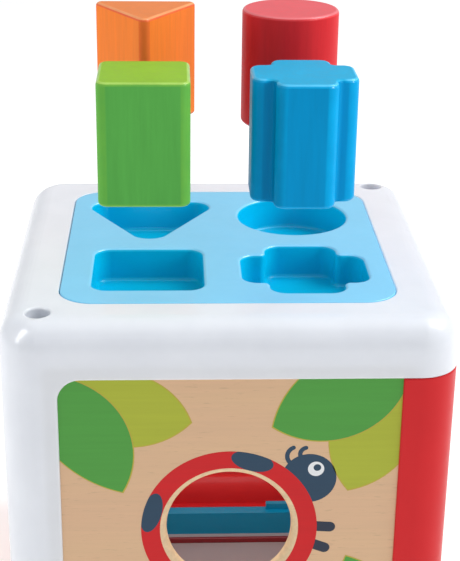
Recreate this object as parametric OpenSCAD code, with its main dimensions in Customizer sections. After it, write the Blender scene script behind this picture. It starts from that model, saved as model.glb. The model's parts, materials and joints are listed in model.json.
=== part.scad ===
// Shape sorter: a toy cube made of two interlocking moulded frames, four plywood
// panels, a floor insert, a lift-out tray with four blind pockets, and four blocks.
// The origin is the middle of the base, on the surface that the cube stands on.
// X runs to the right of the windowed front, Y to the back and Z up.

/* [Box] */
// Width and depth of the cube
box_w = 150; // [146:1:160]
// Height of the cube
box_h = 150; // [140:1:180]
// Radius of the four upright corners, in plan
corner_r = 13.5; // [11:0.5:15]
// Rounding of the outer edge of the top and bottom rings
edge_r = 10; // [6:0.5:11]
// Height of the top ring and of the bottom ring
ring_h = 19; // [18:0.5:24]
// Width of a corner post
post_w = 19.2; // [18.6:0.2:22]
// Radius of the inner corner where a post grows out of its ring
gusset_r = 7.5; // [4:0.5:10]

/* [Panels] */
// Thickness of the plywood
panel_t = 4; // [3:0.5:4]
// How far the face of a panel lies behind the face of the frame
panel_recess = 1; // [0.8:0.1:1.2]
// How far a panel goes into its grooves
groove_d = 4; // [3:0.5:4.5]
// Diameter of the round window
window_d = 42; // [30:1:60]
// Rounding of the window's outer edge
window_edge = 2.2; // [1:0.1:3]

/* [Tray] */
// Width of the tray and of the floor insert
tray_w = 112.4; // [110:0.2:113]
// Radius of the tray's corners
tray_r = 11.5; // [6:0.5:12]
// Thickness of the tray's plate
tray_t = 3; // [2.5:0.5:4]
// Depth of the pockets
pocket_depth = 12.3; // [8:0.1:20]
// Wall round each pocket
pocket_wall = 2; // [1.5:0.5:2.5]
// Distance of the pockets from the middle of the tray, to the left and right
pocket_place = 27; // [26.5:0.1:27.2]
// Distance of the two front pockets from the middle of the tray
front_pocket_place = 26; // [25.5:0.1:26.5]
// Distance of the two back pockets from the middle of the tray
back_pocket_place = 28; // [27.5:0.1:28.3]

/* [Blocks] */
// Height of the blocks
block_h = 42; // [30:1:50]
// Height of the two front blocks over the tray
front_hover = 27.5; // [5:0.5:60]
// Height of the two back blocks over the tray
back_hover = 37.5; // [5:0.5:60]
// Side of the square block
square_w = 30.5; // [28:0.5:34]
// Diameter of the round block
round_d = 35; // [32:0.5:37]
// Width of the plus block
plus_w = 35; // [34:0.5:38]
// Inscribed radius of the triangular block
triangle_in_r = 11.5; // [10:0.1:13]
// How far the square block hangs to the left of its pocket's middle
square_aside = 0.9; // [0:0.1:3]
// How far the plus block hangs to the left of its pocket's middle
plus_aside = 2.1; // [0:0.1:2.1]
// How far the round block hangs to the left of its pocket's middle
round_aside = 2.6; // [0:0.1:2.6]
// How far the triangular block hangs to the left of its pocket's middle
triangle_aside = 1.2; // [0:0.1:2]

/* [Hidden] */
$fn = 64;

half = box_w / 2;
// Play between pieces that lie in each other, and a step too small to feel
play = 0.1;
hair = 0.01;
// Wall of the mouldings, and the clearance of the tray in its opening
wall = 3;
tray_gap = 0.3;
// Ledge that carries the tray, measured inwards from the opening
ledge_w = 3;
opening_w = tray_w + 2 * tray_gap;
ledge_opening_w = opening_w - 2 * ledge_w;
// Its wide corners are pads for the screws of the floor insert
ledge_opening_r = 20;
pad_place = 50.6;
pad_boss_d = 7;
pad_boss_h = 6;
// The ring's hollow lies between the rib behind the panel and the wall of the opening
rib_back = panel_recess + panel_t + play + 2;
opening_wall = 2.5;
ring_hollow_half = half - post_w - 2;
// Lip at the underside of the tray that locates it in the ledge opening
lip_h = 4;
lip_t = 2;
lip_gap = 0.5;

// Post screws: the deep counterbore down a post, the screw and its pilot hole
screw_x = half - 13;
screw_y = half - 11.5;
counterbore_d = 8;
counterbore_rim = 0.9;
seat_h = 12;
post_screw_d = 4;
post_screw_head_d = 7.4;
post_screw_head_h = 3;
post_screw_l = 24;
pilot_l = 13;
cross_w = 1.2;

// Pocket outlines, at the pocket's wall
square_pocket_w = 37.8;
square_pocket_r = 5.5;
round_pocket_d = 41;
plus_pocket_w = 43.4;
plus_pocket_d = 43.6;
plus_pocket_r = 5.5;
triangle_pocket_in_r = 15.6;
triangle_pocket_r = 6.3;
// The triangle's middle lies further back, so that its straight side lines up with the circle
triangle_shift = 1;

// Block outlines
square_r = 3.5;
plus_r = 4;
triangle_r = 2.5;

// Width of the arms of a plus, as a share of its overall width or depth
plus_arm = 0.58;

// The rail across the floor, behind the window
floor_top = tray_t;
foot_y = 29.4;
foot_d = 9;
foot_h = 2.3;
strip_t = 1.4;
rail_y = 33;
rail_shelf_d = 2.7;
rail_back_d = 2.3;
rail_h = 10;
rail_end_rise = 2.7;
rail_notch_w = 41;
rail_l = ledge_opening_w - 3;

// Small screws that come up through the floor insert, with their heads sunk in it
small_head_d = 5.4;
small_head_h = 1.5;
small_sink_d = 6;
small_sink_h = 1.6;
floor_screw_d = 3;
floor_screw_l = 8;
rail_screw_d = 2.6;
rail_screw_l = 10;
rail_screw_x = 40;
rail_screw_y = rail_y + (rail_shelf_d + rail_back_d) / 2;

white = [0.91, 0.92, 0.95];
red = [0.87, 0.24, 0.25];
sky_blue = [0.5, 0.8, 0.95];
birch = [0.85, 0.71, 0.57];
teal = [0.08, 0.4, 0.48];

// --- outlines ---

module rounded_square(w, r, d = 0) {
    depth = d > 0 ? d : w;
    square([w - 2 * r, depth], center = true);
    square([w, depth - 2 * r], center = true);
    for (x = [-1, 1], y = [-1, 1])
        translate([x * (w / 2 - r), y * (depth / 2 - r)]) circle(r);
}

// Equilateral triangle with one side at the back, given by its inscribed radius. Its sides
// lie a hair inside the corner circles, so that they cross them cleanly.
module rounded_triangle(in_r, r) {
    reach = 2 * (in_r - r);
    side = reach * sqrt(3);
    rotate(-90) circle(reach, $fn = 3);
    for (turn = [0, 120, 240]) rotate(turn) {
        translate([0, -reach]) circle(r);
        translate([-side / 2, (reach - r) / 2]) square([side, 1.5 * r - hair]);
    }
}

module plus_outline(w, d, r) {
    rounded_square(w * plus_arm, r, d);
    rounded_square(w, r, d * plus_arm);
}

module square_outline(grow = 0) rounded_square(square_pocket_w + 2 * grow, square_pocket_r + grow);
module round_outline(grow = 0) circle(round_pocket_d / 2 + grow);
module triangle_outline(grow = 0) rounded_triangle(triangle_pocket_in_r + grow, triangle_pocket_r + grow);
module plus_pocket_outline(grow = 0) {
    arm_w = plus_pocket_w * plus_arm;
    arm_d = plus_pocket_d * plus_arm;
    rounded_square(arm_w + 2 * grow, plus_pocket_r + grow, plus_pocket_d + 2 * grow);
    rounded_square(plus_pocket_w + 2 * grow, plus_pocket_r + grow, arm_d + 2 * grow);
}

// The four pockets' outlines, each at its place on the tray
module pocket_outlines(grow = 0) {
    translate([-pocket_place, -front_pocket_place]) square_outline(grow);
    translate([pocket_place, -front_pocket_place]) plus_pocket_outline(grow);
    translate([pocket_place, back_pocket_place]) round_outline(grow);
    translate([-pocket_place, back_pocket_place + triangle_shift]) triangle_outline(grow);
}

// --- shared solids ---

// Side view of a block with a rounded top edge
module edge_profile(reach, h, r) {
    translate([-reach, 0]) square([2 * reach, h - r]);
    translate([r - reach, 0]) square([2 * (reach - r), h]);
    intersection() {
        for (s = [-1, 1]) translate([s * (reach - r), h - r]) circle(r);
        translate([-reach, 0]) square([2 * reach, h]);
    }
}

// Square block, upright corners of radius rc and a top edge of radius re
module soft_block(w, h, rc, re) {
    straight = w - 2 * rc;
    for (turn = [0, 90]) rotate([90, 0, turn])
        translate([0, 0, -straight / 2]) linear_extrude(straight) edge_profile(w / 2, h, re);
    for (x = [-1, 1], y = [-1, 1])
        translate([x * straight / 2, y * straight / 2, 0])
            rotate_extrude() intersection() {
                edge_profile(rc, h, re);
                square([rc, h]);
            }
}

// Lip that rounds the inner corner between a post and its ring, on both outer faces
module gusset() {
    for (flip = [0, 1]) mirror([flip, -flip, 0])
        translate([post_w, panel_recess - play, 0]) rotate([90, 0, 0])
            linear_extrude(panel_recess - play) difference() {
                translate([-play, -gusset_r]) square([gusset_r + play, gusset_r + play]);
                translate([gusset_r, -gusset_r]) circle(gusset_r);
            }
}

// Corner post that hangs from the ring, in coordinates that run inwards from the cube's corner
module post(length) {
    core_end = post_w - groove_d - 1.6;
    difference() {
        translate([0, 0, -length]) linear_extrude(length + 1) intersection() {
            translate([half, half]) rounded_square(box_w, corner_r);
            square(post_w);
        }
        translate([0, 0, -length + seat_h]) linear_extrude(length - seat_h - 2) difference() {
            intersection() {
                translate([half, half]) rounded_square(box_w - 2 * wall, corner_r - wall);
                square(core_end);
            }
            translate([half - screw_x, half - screw_y]) circle(counterbore_d / 2 + 2);
        }
    }
}

// Counterbore down a post, its rounded mouth, and the clearance hole below the seat
module post_bore(length) {
    translate([0, 0, -length + seat_h]) cylinder(d = counterbore_d, h = length + ring_h);
    translate([0, 0, -length - 1]) cylinder(d = post_screw_d + 2 * play, h = seat_h + 2);
    translate([0, 0, ring_h]) rotate_extrude() difference() {
        translate([0, -counterbore_rim]) square([counterbore_d / 2 + counterbore_rim, counterbore_rim + 1]);
        translate([counterbore_d / 2 + counterbore_rim, -counterbore_rim]) circle(counterbore_rim);
    }
}

// One frame: a ring with posts at two opposite corners, drawn with its ring upwards
// and the underside of the ring at z = 0. The cube has two, the second one turned over.
module frame_moulding() {
    post_l = box_h - 2 * ring_h;
    ledge_z = ring_h - tray_t;
    difference() {
        union() {
            difference() {
                union() {
                    soft_block(box_w, ring_h, corner_r, edge_r);
                    for (turn = [0, 180]) rotate([0, 0, turn]) translate([-half, -half, 0]) {
                        post(post_l);
                        gusset();
                    }
                }
                frame_openings(ledge_z);
            }
            for (turn = [45:90:315]) rotate([0, 0, turn])
                translate([pad_place * sqrt(2), 0, ledge_z - tray_t - pad_boss_h])
                    cylinder(d = pad_boss_d, h = pad_boss_h + 1);
        }
        for (turn = [45:90:315]) rotate([0, 0, turn])
            translate([pad_place * sqrt(2), 0, ledge_z - floor_screw_l])
                cylinder(d = floor_screw_d, h = floor_screw_l + 1);
        for (turn = [0, 180]) rotate([0, 0, turn]) {
            translate([-screw_x, -screw_y, 0]) post_bore(post_l);
            translate([-screw_x, screw_y, -1]) cylinder(d = post_screw_d + play, h = pilot_l + 1);
        }
    }
}

// Everything that is cut from a frame for the tray, the panels and an even wall
module frame_openings(ledge_z) {
    translate([0, 0, -1]) linear_extrude(ring_h + 2)
        rounded_square(ledge_opening_w, ledge_opening_r);
    translate([0, 0, ledge_z]) linear_extrude(tray_t + 1)
        rounded_square(opening_w, tray_r + tray_gap);
    translate([0, 0, -1]) linear_extrude(ledge_z - tray_t + 1)
        rounded_square(opening_w, tray_r + tray_gap);
    panel_reach = half - post_w + groove_d;
    for (side = [0:3]) rotate([0, 0, side * 90]) {
        translate([-panel_reach, panel_recess - play - half, -box_h])
            cube([2 * panel_reach, panel_t + 2 * play, box_h + groove_d]);
        translate([-ring_hollow_half, rib_back - half, -1])
            cube([2 * ring_hollow_half, half - opening_w / 2 - opening_wall - rib_back, ring_h - wall + 1]);
    }
}

module plywood_panel(hole_d) {
    w = box_w - 2 * (post_w - groove_d) - 2 * play;
    h = box_h - 2 * (ring_h - groove_d) - 2 * play;
    translate([0, panel_recess - half, box_h / 2]) difference() {
        translate([-w / 2, 0, -h / 2]) cube([w, panel_t, h]);
        if (hole_d > 0) rotate([-90, 0, 0]) {
            translate([0, 0, -1]) cylinder(d = hole_d, h = panel_t + 2);
            rotate_extrude() translate([hole_d / 2, 0]) difference() {
                translate([-1, -1]) square([window_edge + 1, window_edge + 1]);
                translate([window_edge, window_edge]) circle(window_edge);
            }
        }
    }
}

// Pan-head screw with a cross slot, its head upwards and its seat at z = 0
module screw(d, head_d, head_h, length) {
    translate([0, 0, -length]) cylinder(d = d, h = length);
    difference() {
        cylinder(d = head_d, h = head_h);
        for (turn = [0, 90]) rotate([0, 0, turn])
            translate([-head_d / 4, -cross_w / 2, head_h / 2]) cube([head_d / 2, cross_w, head_h]);
    }
}

// --- the frames ---

module top_frame() color(white) translate([0, 0, box_h - ring_h]) frame_moulding();

module base_frame() color(red) translate([0, 0, ring_h]) rotate([180, 0, 0]) frame_moulding();

// --- the panels ---

module front_panel() color(birch) plywood_panel(window_d);
module right_panel() color(birch) rotate([0, 0, 90]) plywood_panel(0);
module back_panel() color(birch) rotate([0, 0, 180]) plywood_panel(0);
module left_panel() color(birch) rotate([0, 0, -90]) plywood_panel(0);

// --- the tray ---

module shape_tray() color(sky_blue) translate([0, 0, box_h]) difference() {
    union() {
        translate([0, 0, -tray_t]) linear_extrude(tray_t) rounded_square(tray_w, tray_r);
        translate([0, 0, -tray_t - lip_h]) linear_extrude(lip_h + 1) difference() {
            rounded_square(ledge_opening_w - 2 * lip_gap, ledge_opening_r - lip_gap);
            rounded_square(ledge_opening_w - 2 * (lip_gap + lip_t), ledge_opening_r - lip_gap - lip_t);
        }
        translate([0, 0, -pocket_depth - pocket_wall])
            linear_extrude(pocket_depth) pocket_outlines(pocket_wall);
    }
    translate([0, 0, -pocket_depth]) linear_extrude(pocket_depth + 1) pocket_outlines();
}

// --- the floor and the rail behind the window ---

module at_floor_screws() {
    for (turn = [45:90:315]) rotate([0, 0, turn]) translate([pad_place * sqrt(2), 0, 0]) children();
}

module at_rail_screws() {
    for (s = [-1, 1]) translate([s * rail_screw_x, rail_screw_y, 0]) children();
}

module sunk_hole(d) {
    translate([0, 0, -1]) cylinder(d = d, h = tray_t + 2);
    translate([0, 0, -1]) cylinder(d = small_sink_d, h = small_sink_h + 1);
}

module floor_insert() color(white) difference() {
    linear_extrude(tray_t) rounded_square(tray_w, tray_r);
    at_floor_screws() sunk_hole(floor_screw_d + play);
    at_rail_screws() sunk_hole(rail_screw_d + play);
}

module rail_foot() color(white) difference() {
    translate([-rail_l / 2, foot_y + strip_t, floor_top]) cube([rail_l, foot_d - strip_t, foot_h]);
    at_rail_screws() cylinder(d = rail_screw_d + play, h = rail_h);
}

module foot_strip() color(red)
    translate([-rail_l / 2, foot_y, floor_top]) cube([rail_l, strip_t, foot_h]);

module floor_rail() color(teal) difference() {
    translate([0, rail_y, floor_top + foot_h]) {
        translate([-rail_l / 2, 0, 0]) cube([rail_l, rail_shelf_d + rail_back_d, rail_h]);
        for (s = [-1, 1]) translate([s > 0 ? rail_notch_w / 2 : -rail_l / 2, rail_shelf_d, 0])
            cube([(rail_l - rail_notch_w) / 2, rail_back_d, rail_h + rail_end_rise]);
    }
    at_rail_screws() cylinder(d = rail_screw_d, h = small_sink_h + rail_screw_l);
}

// --- the blocks ---

module hover(x, y, height) translate([x, y, box_h + height]) children();

module block_square() color("yellowgreen")
    hover(-pocket_place - square_aside, -front_pocket_place, front_hover)
        linear_extrude(block_h) rounded_square(square_w, square_r);

module block_plus() color("deepskyblue")
    hover(pocket_place - plus_aside, -front_pocket_place, front_hover)
        linear_extrude(block_h) plus_outline(plus_w, plus_w, plus_r);

module block_round() color("crimson")
    hover(pocket_place - round_aside, back_pocket_place, back_hover)
        linear_extrude(block_h) circle(round_d / 2);

module block_triangle() color("orange")
    hover(-pocket_place - triangle_aside, back_pocket_place + triangle_shift, back_hover)
        linear_extrude(block_h) rounded_triangle(triangle_in_r, triangle_r);

// --- the screws ---

module top_post_screws() color("silver")
    for (turn = [0, 180]) rotate([0, 0, turn])
        translate([-screw_x, -screw_y, ring_h + seat_h])
            screw(post_screw_d, post_screw_head_d, post_screw_head_h, post_screw_l);

module base_post_screws() translate([0, 0, box_h]) rotate([180, 0, 0]) top_post_screws();

module floor_screws() color("silver") at_floor_screws() translate([0, 0, small_sink_h]) rotate([180, 0, 0])
    screw(floor_screw_d, small_head_d, small_head_h, floor_screw_l);

module rail_screws() color("silver") at_rail_screws() translate([0, 0, small_sink_h]) rotate([180, 0, 0])
    screw(rail_screw_d, small_head_d, small_head_h, rail_screw_l);

top_frame();
base_frame();
shape_tray();
front_panel();
right_panel();
back_panel();
left_panel();
floor_insert();
rail_foot();
foot_strip();
floor_rail();
block_square();
block_plus();
block_round();
block_triangle();
top_post_screws();
base_post_screws();
floor_screws();
rail_screws();
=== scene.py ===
"""Looks of the shape sorter: a cube of two moulded frames and four printed plywood panels,
with a lift-out tray of four pockets and four painted wooden blocks over it.

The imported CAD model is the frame. Lengths here are in millimetres unless a line says otherwise,
and MM turns them into Blender's metres. X runs to the right of the windowed front, Y to the
back and Z up, with the origin in the middle of the base.
"""

import json
import math

import bmesh
import bpy
from mathutils import Matrix, Vector

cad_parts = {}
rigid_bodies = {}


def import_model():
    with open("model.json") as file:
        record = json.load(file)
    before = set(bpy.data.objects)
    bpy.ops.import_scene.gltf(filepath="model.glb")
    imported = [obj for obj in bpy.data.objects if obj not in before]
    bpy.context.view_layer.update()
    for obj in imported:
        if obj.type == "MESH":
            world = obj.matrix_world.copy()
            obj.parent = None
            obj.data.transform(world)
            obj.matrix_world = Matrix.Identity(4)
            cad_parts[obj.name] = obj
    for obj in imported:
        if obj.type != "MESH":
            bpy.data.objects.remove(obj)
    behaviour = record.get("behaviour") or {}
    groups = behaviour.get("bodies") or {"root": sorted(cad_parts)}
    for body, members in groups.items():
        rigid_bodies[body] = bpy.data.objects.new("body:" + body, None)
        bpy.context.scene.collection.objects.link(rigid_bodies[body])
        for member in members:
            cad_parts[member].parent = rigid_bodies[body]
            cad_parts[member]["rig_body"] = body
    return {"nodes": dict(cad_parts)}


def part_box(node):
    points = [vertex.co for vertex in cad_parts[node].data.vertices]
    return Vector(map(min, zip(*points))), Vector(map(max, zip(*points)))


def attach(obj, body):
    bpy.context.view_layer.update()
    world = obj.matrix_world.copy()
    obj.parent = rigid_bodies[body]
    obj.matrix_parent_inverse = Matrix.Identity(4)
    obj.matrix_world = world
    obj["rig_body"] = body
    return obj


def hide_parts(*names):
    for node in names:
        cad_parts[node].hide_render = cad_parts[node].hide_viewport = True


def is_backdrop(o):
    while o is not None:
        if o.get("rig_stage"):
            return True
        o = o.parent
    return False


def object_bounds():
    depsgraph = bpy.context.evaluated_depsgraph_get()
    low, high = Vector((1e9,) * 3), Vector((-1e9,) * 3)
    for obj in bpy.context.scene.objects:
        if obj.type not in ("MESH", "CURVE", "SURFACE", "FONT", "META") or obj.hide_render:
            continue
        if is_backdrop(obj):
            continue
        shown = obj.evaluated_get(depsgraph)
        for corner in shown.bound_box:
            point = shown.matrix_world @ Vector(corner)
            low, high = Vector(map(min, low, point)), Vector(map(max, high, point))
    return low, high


MM = 0.001

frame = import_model()
cad_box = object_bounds()


# --- sizes: those of the CAD nodes, and what their boxes don't say ---


def node_box(node):
    """Lowest and highest corner of a CAD node, in millimetres."""
    low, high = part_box(node)
    return low / MM, high / MM


TRAY_LOW, TRAY_HIGH = node_box("shape_tray")
PANEL_LOW, PANEL_HIGH = node_box("front_panel")
CUBE_HALF, CUBE_TOP = node_box("top_frame")[1].xz
CUBE_CORNER = 13.5
# How near to a level a vertex is taken to lie on it
NEAR_LEVEL = 0.01

TRAY_CORNER = 11.5
TRAY_PLATE = 3
TRAY_EDGE = 0.4
LIP_HALF = 53
LIP_CORNER = 19.5
LIP_THICKNESS = 2
LIP_HEIGHT = 4

POCKET_WALL = 2
POCKET_MOUTH = 1.3
POCKET_FILLET = 1.6
# Share of the mouth's rounding that has the plate's lighter colour, which carries a painted sheen
MOUTH_SHARE = 0.4
POCKET_ASIDE = 27
FRONT_POCKETS = -26
BACK_POCKETS = 28
TRIANGLE_SHIFT = 1
POCKET_CORNER = 5.5
SQUARE_POCKET_HALF = 18.9
PLUS_POCKET_WIDTH = 43.4
PLUS_POCKET_DEPTH = 43.6
PLUS_POCKET_INNER_CORNER = 2.2
ROUND_POCKET_RADIUS = 20.5
TRIANGLE_POCKET_IN_RADIUS = 15.6
TRIANGLE_POCKET_CORNER = 6.3

# Width of the arms of a plus, as a share of its overall width or depth
PLUS_ARM = 0.58
SQUARE_CORNER = 3.5
PLUS_CORNER = 4
PLUS_INNER_CORNER = 2
TRIANGLE_CORNER = 2.5
BLOCK_EDGE = 1.3
# A vertex value on the blocks, most on their rims and less on their upright edges: their painted
# highlight, a lighter edge colour for light caught by the rounding (darker on the orange block's
# sides), and their extra coat
EDGE_SHEEN = "edge_sheen"
RIM_SHEEN = 0.85
UPRIGHT_SHEEN = 0.45
# Largest face of a block's rounded edges, in square millimetres
NARROW_FACE = 40

WINDOW_RADIUS = 21
WINDOW_EDGE = 2.2

PANEL_EDGE = 0.4
PANEL_CORNER = 1

# Thickness of one layer of the print, the clear margin round it, and the width of a leaf's edge
INK = 0.02
PRINT_MARGIN = 0.5
LEAF_EDGE = 0.35
# How far a leaf's edge reaches past its tips, as a multiple of its width along the sides
TIP_SHARE = 1.6
FEELER_RADIUS = 0.75
LEG_RADIUS = 1.9

ARC_STEPS = 10
ROUND_STEPS = 5
# Smallest angle of an edge that is shaded sharp, in degrees
SHARP_EDGE = 40


# --- outlines: lists of (point, outward normal), counterclockwise ---


def rounded(corners, steps=ARC_STEPS):
    """Outline of a polygon whose corners are (x, y, radius), with each corner as an arc."""
    outline = []
    for k, (x, y, radius) in enumerate(corners):
        here = Vector((x, y))
        before = Vector(corners[k - 1][:2])
        after = Vector(corners[(k + 1) % len(corners)][:2])
        way_in = (here - before).normalized()
        way_out = (after - here).normalized()
        turn = math.atan2(way_in.cross(way_out), way_in.dot(way_out))
        side = 1 if turn > 0 else -1
        normal = Vector((way_in.y, -way_in.x))
        cut = radius * math.tan(abs(turn) / 2)
        centre = here - way_in * cut - normal * (side * radius)
        for step in range(steps + 1):
            n = Matrix.Rotation(turn * step / steps, 2) @ normal
            outline.append((centre + n * (side * radius), n))
    return outline


def rounded_square(half_x, half_y, radius, steps=ARC_STEPS):
    signs = [(1, -1), (1, 1), (-1, 1), (-1, -1)]
    return rounded([(sx * half_x, sy * half_y, radius) for sx, sy in signs], steps)


def circle(radius, count=96):
    turns = [2 * math.pi * k / count for k in range(count)]
    normals = [Vector((math.cos(a), math.sin(a))) for a in turns]
    return [(n * radius, n) for n in normals]


def triangle(in_radius, radius):
    """Equilateral triangle with a straight side at the back and a corner to the front."""
    reach = 2 * in_radius
    turns = [math.radians(a) for a in (-90, 30, 150)]
    return rounded([(reach * math.cos(a), reach * math.sin(a), radius) for a in turns])


def plus(width, depth, radius, inner):
    """Plus with rounded arms and a small radius in its inner corners."""
    arm_x = width * PLUS_ARM / 2
    arm_y = depth * PLUS_ARM / 2
    right = [(width / 2, -arm_y, radius), (width / 2, arm_y, radius), (arm_x, arm_y, inner)]
    top = [(arm_x, depth / 2, radius), (-arm_x, depth / 2, radius), (-arm_x, arm_y, inner)]
    left = [(-width / 2, arm_y, radius), (-width / 2, -arm_y, radius), (-arm_x, -arm_y, inner)]
    bottom = [(-arm_x, -depth / 2, radius), (arm_x, -depth / 2, radius), (arm_x, -arm_y, inner)]
    return rounded(right + top + left + bottom)


def moved(outline, x, y):
    shift = Vector((x, y))
    return [(p + shift, n) for p, n in outline]


# --- mesh helpers ---


def quarter_round(radius, steps=ROUND_STEPS):
    """Steps of a rounded edge from its flat face to its side, as (inset, drop)."""
    turns = [math.pi / 2 * k / steps for k in range(steps + 1)]
    return [(radius * (1 - math.sin(a)), radius * (1 - math.cos(a))) for a in turns]


def add_ring(bm, outline, offset, z):
    """Closed row of vertices: the outline moved outwards by offset, at height z."""
    return [bm.verts.new(Vector((*(p + n * offset), z)) * MM) for p, n in outline]


def bridge(bm, low, high):
    """Wall of faces between two closed rows."""
    count = len(low)
    for k in range(count):
        bm.faces.new((low[k], low[(k + 1) % count], high[(k + 1) % count], high[k]))


def loft(bm, outline, profile):
    """Wall through the profile's (offset, z) rows. Returns its first and last rows."""
    rows = [add_ring(bm, outline, offset, z) for offset, z in profile]
    for low, high in zip(rows, rows[1:]):
        bridge(bm, low, high)
    return rows[0], rows[-1]


def fill(bm, rows):
    """Flat face inside the first row and round the other rows."""
    edges = []
    for row in rows:
        for a, b in zip(row, row[1:] + row[:1]):
            edges.append(bm.edges.get((a, b)) or bm.edges.new((a, b)))
    bmesh.ops.triangle_fill(bm, edges=edges, use_beauty=True, normal=(0, 0, 1))


def finished(bm, name, materials, outwards=False):
    """Object of a closed mesh, shaded smooth apart from its sharp edges.

    Outwards says that all of its faces point outwards already.
    """
    if not outwards:
        bmesh.ops.recalc_face_normals(bm, faces=bm.faces)
    mesh = bpy.data.meshes.new(name)
    bm.to_mesh(mesh)
    bm.free()
    mesh.shade_smooth()
    mesh.set_sharp_from_angle(angle=math.radians(SHARP_EDGE))
    for material in materials:
        mesh.materials.append(material)
    piece = bpy.data.objects.new(name, mesh)
    bpy.context.scene.collection.objects.link(piece)
    weighted = piece.modifiers.new("even_normals", "WEIGHTED_NORMAL")
    weighted.keep_sharp = True
    weighted.weight = 100
    return piece


# --- material helpers ---


def linear(red, green, blue):
    """Linear colour of an sRGB colour given in 0..255."""
    parts = [c / 255 for c in (red, green, blue)]
    curve = [c / 12.92 if c <= 0.04045 else ((c + 0.055) / 1.055) ** 2.4 for c in parts]
    return (*curve, 1.0)


class Nodes:
    """A material's node tree, with short calls for the nodes that the materials share."""

    def __init__(self, name):
        self.material = bpy.data.materials.new(name)
        self.material.use_nodes = True
        self.tree = self.material.node_tree
        self.shader = self.tree.nodes["Principled BSDF"]
        self.place = self.tree.nodes.new("ShaderNodeTexCoord").outputs["Object"]

    def new(self, kind):
        return self.tree.nodes.new(kind)

    def link(self, source, target):
        self.tree.links.new(source, target)

    def stretched(self, scale):
        """Coordinates for a noise, with its frequency along X, Y and Z per metre."""
        mapping = self.new("ShaderNodeMapping")
        mapping.inputs["Scale"].default_value = scale
        self.link(self.place, mapping.inputs["Vector"])
        return mapping.outputs["Vector"]

    def noise(self, vector, detail, roughness=0.55, distortion=0.0):
        noise = self.new("ShaderNodeTexNoise")
        noise.inputs["Scale"].default_value = 1
        noise.inputs["Detail"].default_value = detail
        noise.inputs["Roughness"].default_value = roughness
        noise.inputs["Distortion"].default_value = distortion
        self.link(vector, noise.inputs["Vector"])
        return noise.outputs["Fac"]

    def mix(self, fac, first, second):
        """Mix of two colours, each a socket or a fixed colour, by a socket or a number."""
        mix = self.new("ShaderNodeMix")
        mix.data_type = "RGBA"
        targets = (mix.inputs[0], mix.inputs[6], mix.inputs[7])
        for source, target in zip((fac, first, second), targets):
            if isinstance(source, bpy.types.NodeSocket):
                self.link(source, target)
            else:
                target.default_value = source
        return mix.outputs[2]

    def span(self, value, low, high, from_low=0.3, from_high=0.7):
        """The value, mapped from its own span to low..high."""
        span = self.new("ShaderNodeMapRange")
        span.inputs["From Min"].default_value = from_low
        span.inputs["From Max"].default_value = from_high
        span.inputs["To Min"].default_value = low
        span.inputs["To Max"].default_value = high
        self.link(value, span.inputs["Value"])
        return span.outputs["Result"]

    def bump(self, height, distance, strength):
        """Bump of the height, whose full range is distance millimetres."""
        bump = self.new("ShaderNodeBump")
        bump.inputs["Distance"].default_value = distance * MM
        bump.inputs["Strength"].default_value = strength
        self.link(height, bump.inputs["Height"])
        self.link(bump.outputs["Normal"], self.shader.inputs["Normal"])

    def set(self, socket, value):
        if isinstance(value, bpy.types.NodeSocket):
            self.link(value, self.shader.inputs[socket])
        else:
            self.shader.inputs[socket].default_value = value


def tinted(colour, red, green, blue):
    return (colour[0] * red, colour[1] * green, colour[2] * blue, 1.0)


def shade(colour, factor):
    return tinted(colour, factor, factor, factor)


def moulded_plastic(name, colour, coat=0.1, gloss=0.4, milky=0.0):
    """Injection-moulded plastic: faint flow mottling, an uneven gloss and a fine surface.

    Milky is how much of the light goes into the plastic and comes out close by.
    """
    nodes = Nodes(name)
    cloud = nodes.noise(nodes.stretched((60, 60, 60)), detail=3)
    mottled = nodes.mix(nodes.span(cloud, 0, 1), shade(colour, 0.975), shade(colour, 1.02))
    nodes.set("Base Color", mottled)
    uneven = nodes.noise(nodes.stretched((260, 260, 260)), detail=5)
    nodes.set("Roughness", nodes.span(uneven, 0.3, 0.38))
    nodes.set("Specular IOR Level", gloss)
    nodes.set("Coat Weight", coat)
    nodes.set("Coat Roughness", 0.12)
    if milky:
        nodes.set("Subsurface Weight", milky)
        nodes.set("Subsurface Radius", (1, 1, 1))
        nodes.set("Subsurface Scale", 2.5 * MM)
    nodes.bump(nodes.noise(nodes.stretched((900, 900, 900)), detail=2), 0.006, 0.4)
    return nodes.material


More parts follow.
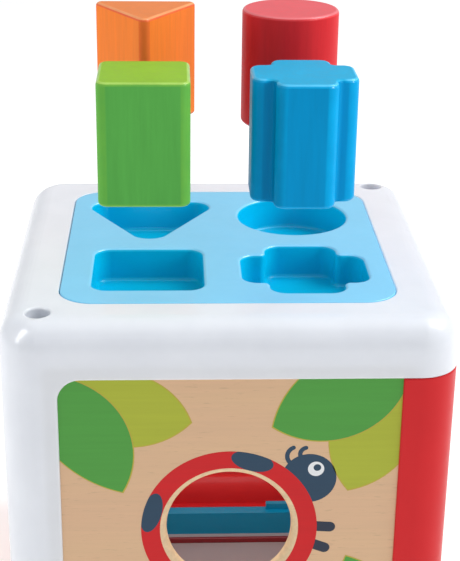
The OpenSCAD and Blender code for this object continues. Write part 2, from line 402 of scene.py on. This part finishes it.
def painted_wood(name, colour, edge_colour, end=False):
    """Beech under a thin gloss stain: the upright grain shows as streaks or, on the ends, as pores.

    The rounded edges show the edge colour, a painted highlight for light caught by the rounding (a
    darker line on the orange block's sides), and more gloss.
    """
    nodes = Nodes(name)
    fine = nodes.stretched((480, 480, 480) if end else (480, 480, 34))
    streaks = nodes.noise(fine, detail=6, roughness=0.62)
    broad = nodes.noise(nodes.stretched((70, 70, 9) if end else (90, 90, 9)), detail=3)
    body = nodes.mix(nodes.span(broad, 0, 1), shade(colour, 0.95), shade(colour, 1.05))
    streaked = nodes.span(streaks, 0, 1, 0.35, 0.72)
    tint = nodes.mix(streaked, shade(colour, 0.85), shade(colour, 1.08))
    edge = nodes.new("ShaderNodeAttribute")
    edge.attribute_name = EDGE_SHEEN
    uneven = nodes.noise(nodes.stretched((160, 160, 160)), detail=4)
    patchy = nodes.span(uneven, 0.55, 1)
    edge_sheen = nodes.new("ShaderNodeMath")
    edge_sheen.operation = "MULTIPLY"
    nodes.link(edge.outputs["Fac"], edge_sheen.inputs[0])
    nodes.link(patchy, edge_sheen.inputs[1])
    stained = nodes.mix(0.5, body, tint)
    # Painted highlight: the edge colour over the stain on the rounded edges, darker on the orange
    # block's sides
    nodes.set("Base Color", nodes.mix(edge_sheen.outputs[0], stained, edge_colour))
    nodes.set("Roughness", nodes.span(streaks, 0.36, 0.48))
    nodes.set("Specular IOR Level", 0.04)
    nodes.set("Coat Weight", nodes.span(edge.outputs["Fac"], 0.03, 0.65, UPRIGHT_SHEEN, RIM_SHEEN))
    nodes.set("Coat Roughness", 0.2)
    nodes.bump(streaks, 0.06, 0.6)
    return nodes.material


def birch_grain(nodes):
    """Birch veneer: broad bands and long fibres, which run along X."""
    bands = nodes.noise(nodes.stretched((5, 55, 55)), detail=3, distortion=0.4)
    fibres = nodes.noise(nodes.stretched((26, 900, 900)), detail=4, roughness=0.6)
    return bands, fibres


def birch(name, colour):
    """Birch veneer with short dark pores between its fibres."""
    nodes = Nodes(name)
    bands, fibres = birch_grain(nodes)
    dashes = nodes.noise(nodes.stretched((190, 1700, 1700)), detail=2)
    darker = tinted(colour, 0.99, 0.93, 0.97)
    lighter = tinted(colour, 1.02, 1.01, 0.97)
    body = nodes.mix(nodes.span(bands, 0, 1), darker, lighter)
    grained = nodes.mix(nodes.span(fibres, 0, 1), shade(colour, 0.93), shade(colour, 1.04))
    veneer = nodes.mix(0.5, body, grained)
    pores = nodes.span(dashes, 0, 0.45, 0.62, 0.74)
    nodes.set("Base Color", nodes.mix(pores, veneer, shade(colour, 0.7)))
    nodes.set("Roughness", nodes.span(fibres, 0.46, 0.6))
    nodes.set("IOR", 1.45)
    nodes.bump(fibres, 0.03, 0.4)
    return nodes.material


def ply_edge(name, colour):
    """Cut edge of the plywood, with an open grain."""
    nodes = Nodes(name)
    fibres = nodes.noise(nodes.stretched((420, 420, 420)), detail=6, roughness=0.7)
    body = nodes.mix(nodes.span(fibres, 0, 1), shade(colour, 0.8), shade(colour, 1.05))
    nodes.set("Base Color", body)
    nodes.set("Roughness", 0.6)
    nodes.bump(fibres, 0.12, 0.6)
    return nodes.material


def ink(name, colour):
    """Screen-printed ink on the veneer: the fibres show through it faintly."""
    nodes = Nodes(name)
    bands, fibres = birch_grain(nodes)
    body = nodes.mix(nodes.span(bands, 0, 1), shade(colour, 0.96), shade(colour, 1.03))
    grained = nodes.mix(nodes.span(fibres, 0, 1), shade(colour, 0.93), shade(colour, 1.06))
    nodes.set("Base Color", nodes.mix(0.5, body, grained))
    nodes.set("Roughness", nodes.span(fibres, 0.4, 0.52))
    nodes.set("Specular IOR Level", 0.2)
    nodes.bump(fibres, 0.03, 0.4)
    return nodes.material


def steel(name):
    nodes = Nodes(name)
    swirl = nodes.noise(nodes.stretched((700, 700, 700)), detail=5)
    darker, lighter = (0.44, 0.45, 0.47, 1), (0.6, 0.61, 0.63, 1)
    nodes.set("Base Color", nodes.mix(nodes.span(swirl, 0, 1), darker, lighter))
    nodes.set("Metallic", 1.0)
    nodes.set("Roughness", nodes.span(swirl, 0.26, 0.42))
    nodes.bump(swirl, 0.01, 0.3)
    return nodes.material


WHITE = moulded_plastic("white_plastic_look", linear(233, 236, 243), coat=0.4, milky=0.5)
RED = moulded_plastic("red_plastic_look", linear(214, 42, 46), gloss=0.1, coat=0.05)
# Lighter than the pocket blue of the same plastic: a painted sheen on the tray's top, over its coat's
# own gloss
SKY_WITH_SHEEN = moulded_plastic("sky_sheen_plastic_look", linear(116, 193, 228), coat=0.5, gloss=0.5)
# The frame's red darkened: painted shade on the foot strip, which lies under the rail
SHADED_RED = moulded_plastic("shaded_strip_plastic_look", linear(126, 34, 40))
POCKET_BLUE = moulded_plastic("pocket_plastic_look", linear(0, 174, 213), coat=0.3, gloss=0.15)
GREY = moulded_plastic("floor_plastic_look", linear(158, 146, 148))
TEAL = moulded_plastic("teal_plastic_look", linear(0, 136, 180))
BIRCH = birch("birch_look", linear(222, 184, 146))
PLY_EDGE = ply_edge("ply_edge_look", linear(236, 206, 164))
STEEL = steel("steel_look")

# Each block has a side look and a lighter end look: the ends differ partly as end grain and partly as
# painted top light and sheen. The last colour of each is the edge colour, a painted highlight, darker
# only on the orange block's sides.
GREEN_WOOD = painted_wood("green_wood_look", linear(90, 172, 78), edge_colour=linear(124, 190, 66))
GREEN_LIT_END = painted_wood("green_lit_end_look", linear(142, 188, 58), edge_colour=linear(176, 220, 104), end=True)
BLUE_WOOD = painted_wood("blue_wood_look", linear(0, 130, 182), edge_colour=linear(0, 158, 212))
BLUE_LIT_END = painted_wood("blue_lit_end_look", linear(40, 160, 202), edge_colour=linear(78, 184, 226), end=True)
RED_WOOD = painted_wood("red_wood_look", linear(210, 44, 50), edge_colour=linear(232, 70, 76))
RED_LIT_END = painted_wood("red_lit_end_look", linear(222, 98, 104), edge_colour=linear(234, 122, 128), end=True)
ORANGE_WOOD = painted_wood("orange_wood_look", linear(252, 132, 48), edge_colour=linear(232, 84, 60))
ORANGE_LIT_END = painted_wood("orange_lit_end_look", linear(226, 132, 74), edge_colour=linear(252, 170, 112), end=True)

INK_GREEN = ink("ink_green_look", linear(84, 160, 70))
INK_LIME = ink("ink_lime_look", linear(176, 184, 62))
INK_LINE = ink("ink_line_look", linear(190, 172, 70))
INK_RED = ink("ink_red_look", linear(210, 34, 38))
INK_DARK = ink("ink_dark_look", linear(50, 74, 96))
INK_LEG = ink("ink_leg_look", linear(52, 60, 76))
INK_WHITE = ink("ink_white_look", linear(236, 238, 240))


# --- camera ---

# Focal length in pixels of a picture that is 561 pixels high, which fits the photo's perspective
LENS_PX = 1430
PICTURE_HEIGHT = 561
SENSOR = 36
CAMERA_PLACE = Vector((-19, -486, 334.3))
CAMERA_YAW = -2.53
CAMERA_DOWN = 22.31
CAMERA_ROLL = 0.75


def add_camera():
    data = bpy.data.cameras.new("camera")
    data.sensor_width = SENSOR
    data.lens = LENS_PX / PICTURE_HEIGHT * SENSOR
    camera = bpy.data.objects.new("camera", data)
    yaw = Matrix.Rotation(math.radians(CAMERA_YAW), 3, "Z")
    pitch = Matrix.Rotation(math.radians(90 - CAMERA_DOWN), 3, "X")
    roll = Matrix.Rotation(math.radians(CAMERA_ROLL), 3, "Z")
    camera.matrix_world = (yaw @ pitch @ roll).to_4x4()
    camera.location = CAMERA_PLACE * MM
    bpy.context.scene.collection.objects.link(camera)
    bpy.context.scene.camera = camera


# --- the frames, the floor, the rail and the screws: CAD shapes with rounded edges ---

# Roundings of the edges
FRAME_EDGE = 0.6
SMALL_EDGE = 0.3
RAIL_EDGE = 0.35
SCREW_EDGE = 0.12

# How near to the outer surface a vertex is taken to lie on it
NEAR_OUTSIDE = 0.03
# How far round the tray the edges are rounded
ROUND_TRAY = 1


def on_outside(point):
    """True where a point lies on the cube's upright outer surface. The point is in metres."""
    x, y = (max(0, abs(c) / MM - (CUBE_HALF - CUBE_CORNER)) for c in point.xy)
    return abs(math.hypot(x, y) - CUBE_CORNER) < NEAR_OUTSIDE


def seen_frame_edge(edge):
    """The edges of a frame round its panels, at the ends of its posts and round the tray."""
    ends = [v.co for v in edge.verts]
    if all(on_outside(p) for p in ends):
        return True
    heights = [p.z / MM for p in ends]
    on_top = all(abs(z - CUBE_TOP) < NEAR_LEVEL for z in heights)
    on_base = all(abs(z) < NEAR_LEVEL for z in heights)
    reach = max(abs(c) / MM for p in ends for c in p.xy)
    return (on_top or on_base) and reach < TRAY_HIGH.x + ROUND_TRAY


def any_edge(edge):
    return True


def soft_copy(node, width, material, chosen=any_edge, segments=3):
    """A CAD node's shape in a new piece, with its chosen sharp edges rounded by width."""
    bm = bmesh.new()
    bm.from_mesh(frame["nodes"][node].data)
    bmesh.ops.remove_doubles(bm, verts=bm.verts, dist=0.002 * MM)
    bmesh.ops.dissolve_limit(bm, angle_limit=math.radians(0.4), verts=bm.verts, edges=bm.edges)
    sharp = [e for e in bm.edges if e.calc_face_angle(0) > math.radians(50) and chosen(e)]
    bmesh.ops.bevel(
        bm, geom=sharp, offset=width * MM, offset_type="OFFSET", segments=segments,
        profile=0.5, affect="EDGES", clamp_overlap=True, miter_outer="ARC",
    )
    piece = finished(bm, node + "_piece", [material])
    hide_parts(node)
    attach(piece, frame["nodes"][node]["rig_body"])
    return piece


def make_structure():
    soft_copy("top_frame", FRAME_EDGE, WHITE, seen_frame_edge)
    soft_copy("base_frame", FRAME_EDGE, RED, seen_frame_edge)
    soft_copy("floor_insert", SMALL_EDGE, GREY)
    soft_copy("rail_foot", SMALL_EDGE, GREY)
    # The red foot strip, in its darker look with painted shade
    soft_copy("foot_strip", SMALL_EDGE, SHADED_RED)
    soft_copy("floor_rail", RAIL_EDGE, TEAL)
    for node in ("top_post_screws", "base_post_screws", "floor_screws", "rail_screws"):
        soft_copy(node, SCREW_EDGE, STEEL, segments=2)


# --- the tray ---


def pocket_outlines():
    square = rounded_square(SQUARE_POCKET_HALF, SQUARE_POCKET_HALF, POCKET_CORNER)
    cross = plus(PLUS_POCKET_WIDTH, PLUS_POCKET_DEPTH, POCKET_CORNER, PLUS_POCKET_INNER_CORNER)
    wedge = triangle(TRIANGLE_POCKET_IN_RADIUS, TRIANGLE_POCKET_CORNER)
    return [
        moved(square, -POCKET_ASIDE, FRONT_POCKETS),
        moved(cross, POCKET_ASIDE, FRONT_POCKETS),
        moved(circle(ROUND_POCKET_RADIUS), POCKET_ASIDE, BACK_POCKETS),
        moved(wedge, -POCKET_ASIDE, BACK_POCKETS + TRIANGLE_SHIFT),
    ]


def make_tray():
    top = TRAY_HIGH.z
    under = top - TRAY_PLATE
    floor = TRAY_LOW.z + POCKET_WALL
    half = TRAY_HIGH.x
    bm = bmesh.new()
    edge = rounded_square(half, half, TRAY_CORNER)
    rim = [(-inset, top - drop) for inset, drop in quarter_round(TRAY_EDGE)]
    rim += [(-inset, under + drop) for inset, drop in reversed(quarter_round(TRAY_EDGE / 2))]
    upper, lower = loft(bm, edge, rim)
    mouths = []
    cups = []
    inside = []
    for outline in pocket_outlines():
        known = set(bm.faces)
        wall = [(inset, top - drop) for inset, drop in quarter_round(POCKET_MOUTH)]
        bend = [(-drop, floor + inset) for inset, drop in quarter_round(POCKET_FILLET)]
        mouth, bottom = loft(bm, outline, wall + [(0, floor + POCKET_FILLET)] + bend[1:])
        bm.faces.new(bottom)
        inside += [f for f in bm.faces if f not in known]
        cup, base = loft(bm, outline, [(POCKET_WALL, under), (POCKET_WALL, TRAY_LOW.z)])
        bm.faces.new(base)
        mouths.append(mouth)
        cups.append(cup)
    fill(bm, [upper] + mouths)
    lip = rounded_square(LIP_HALF, LIP_HALF, LIP_CORNER)
    lip_low = under - LIP_HEIGHT
    lip_outside = [(0, under), (0, lip_low)]
    lip_inside = [(-LIP_THICKNESS, lip_low), (-LIP_THICKNESS, under)]
    outer, inner = loft(bm, lip, lip_outside + lip_inside)
    fill(bm, [lower, outer])
    fill(bm, [inner] + cups)
    # The pockets take the plain blue; the top and the upper part of the mouths take the lighter blue
    # with its painted sheen
    pocket_colour_top = top - POCKET_MOUTH * MOUTH_SHARE
    for face in inside:
        face.material_index = int(face.calc_center_median().z / MM < pocket_colour_top)
    tray = finished(bm, "tray_piece", [SKY_WITH_SHEEN, POCKET_BLUE])
    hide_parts("shape_tray")
    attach(tray, "tray")


# --- the blocks ---


def square_block_outline(size):
    return rounded_square(size.x / 2, size.y / 2, SQUARE_CORNER)


def plus_block_outline(size):
    return plus(size.x, size.y, PLUS_CORNER, PLUS_INNER_CORNER)


def round_block_outline(size):
    return circle(size.x / 2)


def triangle_block_outline(size):
    """Triangle whose middle lies an inscribed radius from its back, unlike its box's middle."""
    in_radius = (size.y + TRIANGLE_CORNER) / 3
    return moved(triangle(in_radius, TRIANGLE_CORNER), 0, size.y / 2 - in_radius)


def mark_edge_sheen(bm, low, high):
    """Marks where the rounded edges get their painted highlight: where all faces round a vertex are
    narrow, and most on the rims.
    """
    layer = bm.verts.layers.float.new(EDGE_SHEEN)
    for vert in bm.verts:
        narrow = all(face.calc_area() < NARROW_FACE * MM**2 for face in vert.link_faces)
        if narrow and all(edge.is_convex for edge in vert.link_edges):
            height = vert.co.z / MM
            rim = min(height - low, high - height) < BLOCK_EDGE - NEAR_LEVEL
            vert[layer] = RIM_SHEEN if rim else UPRIGHT_SHEEN


def make_block(body, outline, side, end):
    """Block with rounded edges and lighter ends, partly end grain and partly painted top light and
    sheen, in place of its CAD node.
    """
    shape = body.removesuffix("_block")
    low, high = node_box("block_" + shape)
    middle = (low + high) / 2
    bm = bmesh.new()
    edge = quarter_round(BLOCK_EDGE)
    bottom = [(-inset, low.z + drop) for inset, drop in edge]
    top = [(-inset, high.z - drop) for inset, drop in reversed(edge)]
    first, last = loft(bm, moved(outline(high - low), middle.x, middle.y), bottom + top)
    bm.faces.new(first)
    bm.faces.new(last)
    bm.normal_update()
    for face in bm.faces:
        # Upward and downward faces take the end look, with its painted top light and sheen
        face.material_index = int(abs(face.normal.z) > 0.5)
    mark_edge_sheen(bm, low.z, high.z)
    block = finished(bm, body + "_piece", [side, end])
    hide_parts("block_" + shape)
    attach(block, body)
    return block


def make_blocks():
    rows = [
        ("square_block", square_block_outline, GREEN_WOOD, GREEN_LIT_END, "green_wood"),
        ("plus_block", plus_block_outline, BLUE_WOOD, BLUE_LIT_END, "blue_wood"),
        ("round_block", round_block_outline, RED_WOOD, RED_LIT_END, "red_wood"),
        ("triangle_block", triangle_block_outline, ORANGE_WOOD, ORANGE_LIT_END, "orange_wood"),
    ]
    for body, outline, side, end, slot in rows:
        make_block(body, outline, side, end)


# --- the panels and their print ---

PANEL_MIDDLE = (PANEL_LOW + PANEL_HIGH) / 2
PANEL_HALF_W = (PANEL_HIGH.x - PANEL_LOW.x) / 2
PANEL_HALF_H = (PANEL_HIGH.z - PANEL_LOW.z) / 2
PANEL_T = PANEL_HIGH.y - PANEL_LOW.y
# Distance of a panel's face from the middle of the cube
FACE = -PANEL_LOW.y


def to_side(turn):
    """Places what lies in a panel's own plane, with its depth as z, on one side of the cube."""
    stand = Matrix.Rotation(math.radians(90), 4, "X")
    lift = Matrix.Translation(Vector((0, 0, PANEL_MIDDLE.z)) * MM)
    return lift @ Matrix.Rotation(math.radians(turn), 4, "Z") @ stand


def make_panel(node, turn, window=False):
    bm = bmesh.new()
    outline = rounded_square(PANEL_HALF_W, PANEL_HALF_H, PANEL_CORNER, 3)
    edge = quarter_round(PANEL_EDGE, 2)
    back_face = FACE - PANEL_T
    front = [(-inset, FACE - drop) for inset, drop in edge]
    back = [(-inset, back_face + drop) for inset, drop in reversed(edge)]
    first, last = loft(bm, outline, front + back)
    if window:
        wall = [(inset, FACE - drop) for inset, drop in quarter_round(WINDOW_EDGE)]
        wall += [(inset, back_face + drop) for inset, drop in reversed(edge)]
        known = set(bm.faces)
        mouth, end = loft(bm, circle(WINDOW_RADIUS, 128), wall)
        for face in set(bm.faces) - known:
            face.material_index = 1
        fill(bm, [first, mouth])
        fill(bm, [last, end])
    else:
        bm.faces.new(first)
        bm.faces.new(last)
    bm.transform(to_side(turn))
    panel = finished(bm, node + "_piece", [BIRCH, PLY_EDGE])
    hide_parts(node)
    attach(panel, "box")


def clipped(points):
    """The part of a printed shape that lies on the panel."""
    limits = [
        (Vector((1, 0)), PANEL_HALF_W - PRINT_MARGIN),
        (Vector((-1, 0)), PANEL_HALF_W - PRINT_MARGIN),
        (Vector((0, 1)), PANEL_HALF_H - PRINT_MARGIN),
        (Vector((0, -1)), PANEL_HALF_H - PRINT_MARGIN),
    ]
    for way, reach in limits:
        kept = []
        for k, here in enumerate(points):
            before = points[k - 1]
            depth_here = reach - here.dot(way)
            depth_before = reach - before.dot(way)
            if (depth_here >= 0) != (depth_before >= 0):
                kept.append(before.lerp(here, depth_before / (depth_before - depth_here)))
            if depth_here >= 0:
                kept.append(here)
        points = kept
    return points


def ink_shape(shape, level):
    """Closed thin layer over the face of a panel: a list of points, or two of them for a ring."""
    bm = bmesh.new()
    loops = shape if isinstance(shape, tuple) else (shape,)
    layers = []
    for z in (FACE - INK, FACE + level * INK):
        rows = [[bm.verts.new(Vector((*p, z)) * MM) for p in loop] for loop in loops]
        if len(rows) == 1:
            fill(bm, rows)
        else:
            bridge(bm, *rows)
        layers.append(rows)
    for low, high in zip(*layers):
        bridge(bm, low, high)
    bmesh.ops.recalc_face_normals(bm, faces=bm.faces)
    if bm.calc_volume(signed=True) < 0:
        bmesh.ops.reverse_faces(bm, faces=bm.faces)
    return bm


def printed(name, shapes, level, material, turn=0):
    """Thin layer of ink on a panel, in one piece for all its shapes."""
    whole = bmesh.new()
    for shape in shapes:
        part = ink_shape(shape, level)
        mesh = bpy.data.meshes.new(name)
        part.to_mesh(mesh)
        part.free()
        whole.from_mesh(mesh)
        bpy.data.meshes.remove(mesh)
    whole.transform(to_side(turn))
    piece = finished(whole, name, [material], outwards=True)
    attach(piece, "box")


def side_arc(start, end, bulge, steps=28):
    """Arc from start towards end that bulges to the right of that way. The end isn't included."""
    chord = end - start
    half = chord.length / 2
    radius = (bulge * bulge + half * half) / (2 * bulge)
    across = Vector((chord.y, -chord.x)).normalized()
    centre = (start + end) / 2 - across * (radius - bulge)
    swing = 2 * math.asin(min(1, half / radius))
    if bulge > half:
        swing = 2 * math.pi - swing
    return [centre + Matrix.Rotation(swing * k / steps, 2) @ (start - centre) for k in range(steps)]


def leaf(tip, far, right, left, grow=0.0):
    """Pointed leaf between two tips, with its bulge on either side of the way from tip to far."""
    a, b = Vector(tip), Vector(far)
    way = (b - a).normalized() * grow * TIP_SHARE
    a, b = a - way, b + way
    return clipped(side_arc(a, b, right + grow) + side_arc(b, a, left + grow))


def disc(x, y, radius, count=48):
    return [p + Vector((x, y)) for p, n in circle(radius, count)]


def round_end(middle, spoke, count):
    """Points of a half circle that turns on from a spoke. Its two ends aren't included."""
    return [middle + Matrix.Rotation(math.pi * k / count, 2) @ spoke for k in range(1, count)]


def stroke(path, radius, count=12):
    """Outline of a stroke with round ends along a path of points."""
    path = [Vector(p) for p in path]
    right, left = [], []
    for k, here in enumerate(path):
        way = (path[min(k + 1, len(path) - 1)] - path[max(k - 1, 0)]).normalized()
        across = Vector((way.y, -way.x)) * radius
        right.append(here + across)
        left.append(here - across)
    far_end = round_end(path[-1], right[-1] - path[-1], count)
    near_end = round_end(path[0], left[0] - path[0], count)
    return right + far_end + left[::-1] + near_end


def feeler(root, tip, bulge):
    """Curved stroke that bulges to the left of the way up to its tip."""
    root, tip = Vector(root), Vector(tip)
    return stroke(side_arc(tip, root, bulge, 10) + [root], FEELER_RADIUS)


SHELL_IN = WINDOW_RADIUS + WINDOW_EDGE
SHELL_OUT = 29.5
# How far outside the middle of the shell's ring a spot lies
SPOT_SHIFT = 0.4


def shell_spot(angle, half_length, half_width):
    """Oval spot on the bug's shell, cut off at the shell's inner and outer edge."""
    middle = (SHELL_IN + SHELL_OUT) / 2 + SPOT_SHIFT
    points = []
    for k in range(48):
        a = 2 * math.pi * k / 48
        p = Vector((middle + half_width * math.cos(a), half_length * math.sin(a)))
        p *= min(max(p.length, SHELL_IN), SHELL_OUT) / p.length
        points.append(Matrix.Rotation(math.radians(angle), 2) @ p)
    return points


def print_leaves(name, turn, dark, light):
    """Leaves at a panel's corners, the light ones behind the dark ones, each with a thin edge."""
    for kind, rows, level, colour in (("light", light, 1, INK_LIME), ("dark", dark, 3, INK_GREEN)):
        edges = [leaf(*row, grow=LEAF_EDGE) for row in rows]
        leaves = [leaf(*row) for row in rows]
        printed(f"{name}_{kind}_edges", edges, level, INK_LINE, turn)
        printed(f"{name}_{kind}_leaves", leaves, level + 1, colour, turn)


def print_front():
    dark = [
        ((-35.5, 14.6), (-66, 57), 16.7, 9.5),
        ((13.9, 38.5), (57.6, 65.7), 17.3, 11.8),
        ((39.8, -11.3), (62, -64), 11, 13),
        ((-32, -34), (-64, -64), 11, 12),
    ]
    light = [
        ((-13, 40.3), (-58, 50), 13.3, 13.3),
        ((39.4, 14.8), (52, 62), 15.5, 12.6),
        ((18, -46), (58, -58), 11, 11),
        ((-50, -22), (-62, -66), 11, 12),
    ]
    print_leaves("front", 0, dark, light)
    head = [disc(26.3, 19.2, 9.1)]
    feelers = [feeler((20.2, 24.8), (20.8, 30.7), 1.7), feeler((23.6, 26.8), (24.9, 30.6), 1.1)]
    upper_leg = stroke([(26, 0.9), (33.8, 0.4)], LEG_RADIUS)
    lower_leg = stroke([(25, -4.9), (32.2, -7.7)], LEG_RADIUS)
    shell = ([p for p, n in circle(SHELL_OUT, 128)], [p for p, n in circle(SHELL_IN, 128)])
    spots = [shell_spot(74, 7.2, 3.6), shell_spot(166, 7.6, 3.4), shell_spot(255, 7.4, 3.4)]
    printed("front_bug_head", head, 1, INK_DARK)
    printed("front_bug_feelers", feelers, 2, INK_DARK)
    printed("front_bug_legs", [upper_leg, lower_leg], 1, INK_LEG)
    printed("front_bug_shell", [shell], 2, INK_RED)
    printed("front_bug_spots", spots, 3, INK_DARK)
    printed("front_bug_eye", [disc(28.5, 22.7, 2.7)], 2, INK_WHITE)
    printed("front_bug_pupil", [disc(28.9, 23.2, 1.25)], 3, INK_DARK)


def print_plain_side(name, turn):
    """The sides that the photo doesn't show have leaves alone."""
    dark = [((-30, 20), (-64, 60), 16, 10), ((24, -34), (62, -62), 12, 15)]
    light = [((-10, 42), (-56, 54), 13, 12), ((40, -10), (60, -60), 14, 11)]
    print_leaves(name, turn, dark, light)


def make_panels():
    make_panel("front_panel", 0, window=True)
    make_panel("right_panel", 90)
    make_panel("back_panel", 180)
    make_panel("left_panel", 270)
    print_front()
    print_plain_side("right", 90)
    print_plain_side("back", 180)
    print_plain_side("left", 270)


# --- stage and light: lengths in metres, and power in watts ---

FLOOR_HALF = 12
CUBE_MIDDLE = (0, 0, 0.12)
POCKETS_MIDDLE = (0, 0, 0.15)
BLOCKS_MIDDLE = (0, 0, 0.2)
BLOCK_LIGHTS = {"square": 2, "plus": 8, "round": 2.5, "triangle": 2}


def add_stage():
    bm = bmesh.new()
    bmesh.ops.create_grid(bm, x_segments=8, y_segments=8, size=FLOOR_HALF)
    mesh = bpy.data.meshes.new("studio_floor")
    bm.to_mesh(mesh)
    bm.free()
    nodes = Nodes("studio_floor_look")
    mottle = nodes.noise(nodes.stretched((3, 3, 3)), detail=2)
    nodes.set("Base Color", nodes.mix(mottle, (0.72, 0.72, 0.72, 1), (0.75, 0.75, 0.75, 1)))
    nodes.set("Roughness", 0.9)
    nodes.set("Specular IOR Level", 0.0)
    nodes.set("Emission Color", (1, 1, 1, 1))
    nodes.set("Emission Strength", 0.45)
    mesh.materials.append(nodes.material)
    floor = bpy.data.objects.new("studio_floor", mesh)
    bpy.context.scene.collection.objects.link(floor)
    floor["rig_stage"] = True


def add_light(name, place, aim, size, power):
    """Soft rectangular light at a place, turned to its aim."""
    data = bpy.data.lights.new(name, "AREA")
    data.shape = "RECTANGLE"
    data.size, data.size_y = size
    data.energy = power
    light = bpy.data.objects.new(name, data)
    light.location = place
    light.rotation_euler = (Vector(aim) - Vector(place)).to_track_quat("-Z", "Y").to_euler()
    light.visible_camera = False
    bpy.context.scene.collection.objects.link(light)
    return light


def shine_past(light, pieces):
    """Leaves out the shadows that a few pieces would throw in a light."""
    group = bpy.data.collections.new(light.name + "_shines_past")
    for piece in pieces:
        group.objects.link(piece)
    for item in group.collection_objects:
        item.light_linking.link_state = "EXCLUDE"
    light.light_linking.blocker_collection = group


def light_only(light, pieces):
    """Keeps a light, and the shadows in it, to a few pieces."""
    group = bpy.data.collections.new(light.name + "_pieces")
    for piece in pieces:
        group.objects.link(piece)
    light.light_linking.receiver_collection = group
    light.light_linking.blocker_collection = group


def add_world():
    world = bpy.data.worlds.new("studio")
    world.use_nodes = True
    background = world.node_tree.nodes["Background"]
    background.inputs["Color"].default_value = (0.97, 0.985, 1, 1)
    background.inputs["Strength"].default_value = 0.485
    bpy.context.scene.world = world


def add_lights():
    """The studio's lights, and those of single pieces, whose light in the photo is their own."""
    top_frame = bpy.data.objects["top_frame_piece"]
    tray = bpy.data.objects["tray_piece"]
    blocks = [bpy.data.objects[name + "_block_piece"] for name in BLOCK_LIGHTS]

    key = add_light("key", (0.95, 0.1, 1.25), CUBE_MIDDLE, (0.8, 0.8), 14)
    top = add_light("top", (0, 0, 1.6), CUBE_MIDDLE, (1.2, 1.2), 4.5)
    shine_past(key, blocks)
    shine_past(top, blocks)
    rim = add_light("left_rim", (-1.2, 0.2, 0.35), CUBE_MIDDLE, (0.8, 0.6), 4)
    rim.visible_glossy = False
    shine = add_light("corner_shine", (-1, -0.5, 0.8), CUBE_MIDDLE, (0.35, 1.1), 14)
    shine.visible_diffuse = False
    light_only(shine, [top_frame])
    add_light("inside_glow", (0, -0.02, 0.13), (0, 0.02, 0), (0.09, 0.07), 0.1)

    right = add_light("pocket_light", (0.9, -0.3, 0.5), POCKETS_MIDDLE, (0.4, 0.4), 5.5)
    left = add_light("pocket_fill", (-0.9, -0.4, 0.42), POCKETS_MIDDLE, (0.4, 0.4), 2)
    for light in (right, left):
        light.visible_glossy = False
        light_only(light, [tray])
    for block, power in zip(blocks, BLOCK_LIGHTS.values()):
        place = (0.9, -0.6, 0.5)
        side = add_light(block.name + "_light", place, BLOCKS_MIDDLE, (0.3, 0.3), power)
        light_only(side, [block])


add_camera()
make_structure()
make_tray()
make_blocks()
make_panels()
add_stage()
add_world()
add_lights()
bpy.context.scene.view_settings.view_transform = "Standard"

boxes = {"cad": cad_box, "visual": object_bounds()}
{name: [list(corner) for corner in box] for name, box in boxes.items()}
